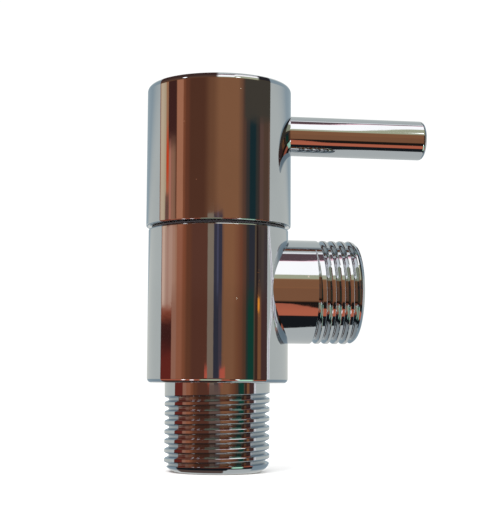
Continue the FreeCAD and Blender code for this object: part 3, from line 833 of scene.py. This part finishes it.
def handle_light(tree, side, height):
    """The room as the handle's wall shows it."""
    at_handle = bands(tree, side, 0.8, [
        (-180, "a2a6a6"), (-106.5, "7a4a38"), (-104.5, "b4a28c"), (-96, "a89880", 3),
        (-91.5, "946a50"), (-84, "a46a5c"), (-81, "88604e"), (-75, "7c5a48", 1.5),
        (-71.8, "5c3829", 0.6), (-69.5, "9c6850"), (-57.8, "74442f"), (-54, "5e3728", 2),
        (-47, "4e3024", 3), (-18, "664431", 7), (-4, "7a543c", 7), (32, "6a4a38", 3),
        (37, "50392f", 3), (43, "34302f", 2.5), (49, "16292e", 2), (60, "30302e", 2),
        (64, "382e2c", 1.5), (67, "54403a"), (74, "4d3b31", 2), (84, "5e4a40"),
    ])
    streak = math_node(
        tree, "MULTIPLY", window(tree, side, -90.5, -85.5, 1.2),
        window(tree, height, 55.5, 66.5, 5.0))
    at_handle = mixed(tree, streak, at_handle, shown("b83c1e"))
    dim = math_node(
        tree, "MULTIPLY", window(tree, side, -86.5, -70.5, 0.8), smooth_step(tree, height, 61.5, 66.5))
    at_handle = mixed(tree, dim, at_handle, shown("3c221f"))
    low = math_node(
        tree, "MULTIPLY", window(tree, side, -93.0, -85.0, 1.5), smooth_step(tree, height, 55.5, 52.5))
    at_handle = mixed(tree, low, at_handle, shown("60443c"))
    olive = math_node(
        tree, "MULTIPLY", window(tree, side, 40.0, 90.0, 3.0), smooth_step(tree, height, 67.0, 70.0))
    return mixed(tree, olive, at_handle, shown("3c3832"))


def barrel_light(tree, side, height):
    """The room as the barrel's wall shows it, with other colours low on the wall."""
    at_barrel = bands(tree, side, 0.8, [
        (-180, "a0a3a3"), (-105.6, "643024", 0.4), (-104.2, "bc9f90"), (-97, "a68778", 1.5),
        (-93, "a07c6e", 1.0), (-88, "a88677", 2), (-80, "9e7867", 2), (-74.5, "98705c"),
        (-71, "8c5844", 1.5), (-60, "784530", 3), (-53.5, "5e3828", 3), (-44, "54342a", 4),
        (-17, "766b5f"), (-7, "32323f"), (-2, "44455a", 1.2), (0.5, "30303e", 1.2),
        (6.3, "6b4c3c"), (9, "7d553c", 1.5), (27, "744b36", 5), (34, "683f2e", 4),
        (40, "56392d", 3), (46, "332e2c", 2), (51, "2a2c34", 1.5), (61.5, "504438", 0.6),
        (64.5, "241c1c", 0.6), (68, "3c3431"), (74, "453b38", 2), (80, "3c3436", 2),
    ])
    low = bands(tree, side, 0.8, [
        (-180, "a0a3a3"), (-105.6, "4a1e1a", 0.4), (-81, "8a6050"), (-71, "86543f", 1.5),
        (-60, "724430", 3), (-53.5, "5c3828", 3), (-44, "503026", 4), (-17, "716459"),
        (-7, "2c2d38"), (1, "3d3740"), (6.3, "6b4c39"), (9, "75503a", 1.5), (27, "6a4430", 5),
        (34, "603c2c", 4), (40, "4c3428", 3), (46, "26302c", 1.5), (49.5, "12382f", 1),
        (60, "4c4034", 0.6), (62, "382620"), (67.5, "704b33"), (74, "412d2c", 1.5),
    ])
    sleeve = bands(tree, height, 1.2, [
        (0, "5c241e"), (24, "381c1a", 2.5), (29.8, "7c3c2a"), (31.8, "94604e", 0.4),
    ])
    left = window(tree, side, -105.0, -81.0, 0.8)
    low = mixed(tree, left, low, sleeve)
    # Where the low colours end, and how softly: in front, and at the left
    where = mixed(tree, left, (34.5, 3.5, 0), (32.4, 0.4, 0))
    split = tree.nodes.new("ShaderNodeSeparateXYZ")
    tree.links.new(where, split.inputs[0])
    lift = math_node(tree, "SUBTRACT", height, split.outputs[0])
    share = math_node(tree, "DIVIDE", lift, split.outputs[1])
    at_barrel = mixed(tree, smooth_step(tree, share, -1.0, 1.0), low, at_barrel)
    ember = math_node(
        tree, "MULTIPLY", window(tree, side, 67.5, 71.0, 0.8), window(tree, height, 31.6, 33.6, 0.4))
    at_barrel = mixed(tree, ember, at_barrel, shown("e09030"))
    foot = math_node(tree, "MULTIPLY", window(tree, side, -17.0, 6.0, 0.8),
                     smooth_step(tree, height, 18.0, 16.5))
    at_barrel = mixed(tree, foot, at_barrel, shown("5c4a44"))
    wedge = math_node(
        tree, "MULTIPLY", smooth_step(tree, height, 20.6, 20.3), smooth_step(tree, height, 17.2, 17.5))
    patch = math_node(tree, "MAXIMUM", window(tree, side, -21.0, -16.5, 0.8),
                      window(tree, side, 3.0, 12.0, 1.5))
    return mixed(tree, math_node(tree, "MULTIPLY", wedge, patch), at_barrel, shown("a85040"))


def upright_light(tree, side, height):
    """The room as both walls show it, with the barrel's bands ending just above the seam."""
    notch = math_node(
        tree, "MULTIPLY", window(tree, side, -18.0, 9.0, 0.8), smooth_step(tree, height, 50.1, 49.9))
    handle = math_node(
        tree, "MULTIPLY", smooth_step(tree, height, 47.95, 48.1), math_node(
            tree, "SUBTRACT", 1.0, notch))
    return mixed(
        tree, handle, barrel_light(tree, side, height), handle_light(tree, side, height))


def mirror_bearings(tree, s):
    """A light's direction, side, tilt and height, by the mirror that shows it to the camera.

    A mirror that faces the camera, turned by half of side and tilted by half of tilt, shows the
    light at side and tilt. Height is where on the upright barrel that light is seen.
    """
    turned = tree.nodes.new("ShaderNodeMapping")
    heading = math.atan2(s.camera_y, s.camera_x)
    turned.inputs["Rotation"].default_value = (0, 0, -heading)
    tree.links.new(object_place(tree), turned.inputs["Vector"])
    unit = tree.nodes.new("ShaderNodeVectorMath")
    unit.operation = "NORMALIZE"
    tree.links.new(turned.outputs["Vector"], unit.inputs[0])
    parts = tree.nodes.new("ShaderNodeSeparateXYZ")
    tree.links.new(unit.outputs["Vector"], parts.inputs[0])
    near, aside, up = parts.outputs
    degrees = 180 / math.pi
    depth = math_node(tree, "ADD", near, 1.0)
    swing = math_node(tree, "ARCTAN2", aside, depth)
    side = math_node(tree, "MULTIPLY", swing, 2 * degrees)
    facing = math_node(tree, "COSINE", swing)
    lean = math_node(tree, "ARCTAN2", math_node(tree, "MULTIPLY", up, facing), depth)
    tilt = math_node(tree, "MULTIPLY", lean, 2 * degrees)
    reach = math.hypot(s.camera_x, s.camera_y) / MM
    slope = math_node(tree, "TANGENT", math_node(tree, "ARCSINE", up))
    mean_wall = 14.2
    run = math_node(tree, "MULTIPLY_ADD", facing, -mean_wall, reach)
    height = math_node(tree, "MULTIPLY_ADD", slope, run, s.camera_z / MM)
    return unit.outputs["Vector"], side, tilt, height


def light_below(tree, side, tilt, apart):
    """The room as a face that leans down shows it."""
    below = bands(tree, tilt, 1.0, [(-180, "15181c"), (-57, "a85c46"), (-40, "a05844", 8)])
    line = math_node(tree, "MULTIPLY_ADD", smooth_step(tree, side, 18.6, 21.2), 11.0, tilt)
    below = mixed(tree, smooth_step(tree, line, -30.0, -28.0), below, shown("1c1614"))
    below = mixed(tree, smooth_step(tree, tilt, -26.0, -24.0), below, shown("5a3c2a"))
    mint = math_node(
        tree, "MULTIPLY", window(tree, tilt, -66, -34, 3.0),
        math_node(tree, "MAXIMUM", window(tree, side, 34, 60, 3.0), math_node(
            tree, "MULTIPLY", window(tree, side, -28, 6, 3.0), smooth_step(tree, tilt, -52, -48))))
    below = mixed(tree, mint, below, shown("a8d8c0"))
    pale_end = smooth_step(tree, math_node(tree, "MULTIPLY_ADD", apart, -14.0, tilt), -90.5, -92.5)
    dim_end = math_node(tree, "MULTIPLY", pale_end, math_node(
        tree, "MULTIPLY", smooth_step(tree, side, 17.0, 14.0), smooth_step(tree, tilt, -132, -126)))
    below = mixed(tree, pale_end, below, shown("a2a8aa"))
    return mixed(tree, dim_end, below, shown("4a3c38"))


def light_above(tree, direction, side, tilt, apart):
    """The room as a face that leans up shows it."""
    above_right = bands(tree, tilt, 1.0, [(0, "6a4a34"), (19.5, "8a6c50"), (25, "9ca08a")])
    pale = smooth_step(tree, math_node(tree, "MULTIPLY_ADD", apart, -24.0, tilt), 33.2, 34.8)
    above_right = mixed(tree, pale, above_right, shown("fafcff"))
    veil = noise(tree, direction, 14.0, 3.0)
    dusk = math_node(tree, "MULTIPLY_ADD", apart, -15.0, tilt)
    dusk = math_node(tree, "MULTIPLY_ADD", veil, 12.0, dusk)
    above_right = mixed(tree, smooth_step(tree, dusk, 72.5, 73.5), above_right, shown("e8b4c8"))
    above_right = mixed(tree, smooth_step(tree, dusk, 74.5, 76.0), above_right, shown("54444a"))
    above_right = mixed(tree, smooth_step(tree, tilt, 88.0, 89.0), above_right, shown("dce0e6"))
    above_right = mixed(tree, smooth_step(tree, tilt, 93.0, 94.0), above_right, shown("a0a8aa"))
    above_left = bands(tree, tilt, 4.0, [
        (0, "5a3c2c"), (34, "4c3830"), (60, "3a2a28"), (150, "a8b0b2"),
    ])
    above_edge = bands(tree, tilt, 4.0, [(0, "3e3830"), (40, "242226"), (120, "a8b0b2")])
    above = mixed(tree, smooth_step(tree, side, -6.0, 0.0), above_left, above_right)
    return mixed(tree, smooth_step(tree, side, 61.0, 66.0), above, above_edge)


def room_light(tree, direction, side, tilt, height):
    """The whole mirrored room: coloured in front of the valve and plain round its sides."""
    # The lever and the outlet stand apart, so a window's edge lies lower for one than the other
    apart = smooth_step(tree, side, 21.0, 27.0)
    below = light_below(tree, side, tilt, apart)
    above = light_above(tree, direction, side, tilt, apart)
    level = upright_light(tree, side, height)
    level = mixed(tree, smooth_step(tree, tilt, -24.0, -22.0), below, level)
    level = mixed(tree, smooth_step(tree, tilt, 22.0, 25.0), level, above)
    plain = bands(tree, tilt, 8.0, [
        (-180, "a2a8aa"), (-100, "74848f"), (-26, "a4aaaa"), (26, "7c8c96"), (100, "a8b0b2"),
    ])
    bulge = math_node(tree, "MULTIPLY", math_node(tree, "SUBTRACT", height, 35.7), 0.1)
    bulge = math_node(tree, "SUBTRACT", 1.0, math_node(tree, "MULTIPLY", bulge, bulge), clamp=True)
    right_edge = math_node(tree, "MULTIPLY_ADD", bulge, -8.0, side)
    handle_edge = smooth_step(tree, height, 47.9, 48.1)
    left_end = math_node(tree, "MULTIPLY_ADD", handle_edge, 0.9, side)
    front = math_node(
        tree, "MULTIPLY", smooth_step(tree, left_end, -105.9, -105.3),
        smooth_step(tree, side, 87.6, 86.8))
    light = mixed(tree, front, plain, level)
    rim = math_node(tree, "MULTIPLY", window(tree, tilt, -20, 24, 2.0), math_node(
        tree, "SUBTRACT", 1.0, handle_edge))
    for low, high, code in ((88.2, 89.4, "dcdce2"), (90.0, 91.0, "5c4a68"), (91.0, 92.4, "e8e8f0")):
        line = window(tree, right_edge, low, high, 0.4)
        light = mixed(tree, math_node(tree, "MULTIPLY", line, rim), light, shown(code))
    return light


def with_lamps(tree, light, side, tilt):
    """Adds the small lamps that rounded edges catch."""
    spot = tree.nodes.new("ShaderNodeCombineXYZ")
    tree.links.new(side, spot.inputs[0])
    tree.links.new(tilt, spot.inputs[1])
    for at in ((-57, -40), (-42, -44), (33, -35), (-56, 46), (29, 34)):
        gap = tree.nodes.new("ShaderNodeVectorMath")
        gap.operation = "DISTANCE"
        gap.inputs[1].default_value = (*at, 0)
        tree.links.new(spot.outputs[0], gap.inputs[0])
        lamp = smooth_step(tree, gap.outputs["Value"], 4.6, 3.2)
        light = mixed(tree, lamp, light, (2.4, 2.5, 2.6))
    return light


class ANGLEVALVE_OT_studio(bpy.types.Operator):
    """Sets the floor, the lights, the mirrored studio and the camera"""

    bl_idname = "angle_valve.studio"
    bl_label = "Set studio"

    def execute(self, context):
        s = context.scene.valve_studio
        self.floor(s)
        self.world(context.scene)
        self.dome(s, context.scene.valve_finish)
        self.lights()
        self.camera(context.scene, s)
        context.scene.view_settings.view_transform = "Standard"
        return {"FINISHED"}

    @staticmethod
    def floor(s):
        """The plain pale floor."""
        let_go()
        bpy.ops.mesh.primitive_circle_add(
            vertices=64, radius=s.floor_size / 2, fill_type="NGON", location=(0, 0, BODY_LOW.z))
        floor = bpy.context.active_object
        floor.name = "studio_floor"
        material, tree, shader = start_material("floor_paint")
        grain = noise(tree, object_place(tree), 900.0, 2.0)
        tint = mixed(tree, grain, s.floor[:], tuple(c * 0.99 for c in s.floor))
        tree.links.new(tint, shader.inputs["Base Color"])
        shader.inputs["Roughness"].default_value = 0.9
        shader.inputs["Specular IOR Level"].default_value = 0.1
        floor.data.materials.append(material)
        floor.visible_glossy = False

    @staticmethod
    def world(scene):
        """White air all round."""
        world = bpy.data.worlds.new("studio_air")
        world.use_nodes = True
        back = world.node_tree.nodes["Background"]
        back.inputs["Color"].default_value = (1.0, 1.0, 1.0, 1)
        back.inputs["Strength"].default_value = 1.05
        scene.world = world

    @staticmethod
    def dome(s, finish):
        """A far shell whose light only the plating mirrors, by direction."""
        let_go()
        bpy.ops.mesh.primitive_uv_sphere_add(segments=64, ring_count=32, radius=s.dome_size)
        dome = bpy.context.active_object
        dome.name = "studio_dome"
        material = bpy.data.materials.new("studio_light")
        material.use_nodes = True
        tree = material.node_tree
        tree.nodes.clear()
        direction, side, tilt, height = mirror_bearings(tree, s)
        light = room_light(tree, direction, side, tilt, height)
        light = with_lamps(tree, light, side, tilt)
        divide = tree.nodes.new("ShaderNodeVectorMath")
        divide.operation = "DIVIDE"
        divide.inputs[1].default_value = finish.chrome[:]
        tree.links.new(light, divide.inputs[0])
        emission = tree.nodes.new("ShaderNodeEmission")
        tree.links.new(divide.outputs["Vector"], emission.inputs["Color"])
        output = tree.nodes.new("ShaderNodeOutputMaterial")
        tree.links.new(emission.outputs[0], output.inputs["Surface"])
        dome.data.materials.append(material)
        stage_card(dome)

    @staticmethod
    def lights():
        """Two soft round lamps."""
        for name, place, size, power in (
                ("key_light", (-0.35, -0.45, 0.75), 0.6, 6.0),
                ("fill_light", (0.6, -0.2, 0.5), 0.6, 2.5)):
            lamp = bpy.data.lights.new(name, "AREA")
            lamp.shape = "DISK"
            lamp.size = size
            lamp.energy = power
            carrier = bpy.data.objects.new(name, lamp)
            bpy.context.scene.collection.objects.link(carrier)
            carrier.location = place
            aim = Vector((0, 0, 0.04)) - Vector(place)
            carrier.rotation_euler = aim.to_track_quat("-Z", "Y").to_euler()
            carrier.visible_glossy = False

    @staticmethod
    def camera(scene, s):
        """The camera at the photograph's viewing angle."""
        data = bpy.data.cameras.new("photo_camera")
        data.lens = s.lens
        data.sensor_width = 36.0
        data.clip_start = 0.01
        data.clip_end = 20.0
        camera = bpy.data.objects.new("photo_camera", data)
        scene.collection.objects.link(camera)
        flat = math.cos(s.camera_pitch)
        ahead = Vector((-math.sin(s.camera_yaw) * flat, math.cos(s.camera_yaw) * flat,
                        math.sin(s.camera_pitch)))
        right = Vector((math.cos(s.camera_yaw), math.sin(s.camera_yaw), 0))
        up = right.cross(ahead)
        across = right * math.cos(s.camera_roll) + up * math.sin(s.camera_roll)
        upward = up * math.cos(s.camera_roll) - right * math.sin(s.camera_roll)
        turn = Matrix((across, upward, -ahead)).transposed().to_4x4()
        place = Vector((s.camera_x, s.camera_y, s.camera_z))
        camera.matrix_world = Matrix.Translation(place) @ turn
        scene.camera = camera


OPERATORS = (
    ANGLEVALVE_OT_finishes,
    ANGLEVALVE_OT_forging,
    ANGLEVALVE_OT_handle,
    ANGLEVALVE_OT_lever,
    ANGLEVALVE_OT_cartridge,
    ANGLEVALVE_OT_studio,
)


class ANGLEVALVE_PT_panel(bpy.types.Panel):
    """Lists the steps that build the valve"""

    bl_idname = "ANGLEVALVE_PT_panel"
    bl_label = "Angle Valve"
    bl_space_type = "VIEW_3D"
    bl_region_type = "UI"
    bl_category = "Angle Valve"

    def draw(self, context):
        for step in OPERATORS:
            self.layout.operator(step.bl_idname)
        for group in ("valve_sizes", "valve_thread", "valve_finish", "valve_studio"):
            values = getattr(context.scene, group)
            box = self.layout.box()
            for name in values.__annotations__:
                box.prop(values, name)


GROUPS = {
    "valve_sizes": ValveSizes,
    "valve_thread": ThreadSizes,
    "valve_finish": ValveFinish,
    "valve_studio": ValveStudio,
}


def register():
    """Adds the sizes, the steps and the panel."""
    for name, group in GROUPS.items():
        bpy.utils.register_class(group)
        setattr(bpy.types.Scene, name, bpy.props.PointerProperty(type=group))
    for step in OPERATORS:
        bpy.utils.register_class(step)
    bpy.utils.register_class(ANGLEVALVE_PT_panel)


def unregister():
    """Takes them out again."""
    bpy.utils.unregister_class(ANGLEVALVE_PT_panel)
    for step in reversed(OPERATORS):
        bpy.utils.unregister_class(step)
    for name, group in GROUPS.items():
        delattr(bpy.types.Scene, name)
        bpy.utils.unregister_class(group)


def main():
    """Builds the valve and its studio."""
    register()
    for step in OPERATORS:
        family, word = step.bl_idname.split(".")
        getattr(getattr(bpy.ops, family), word)()


if __name__ == "__main__":
    main()
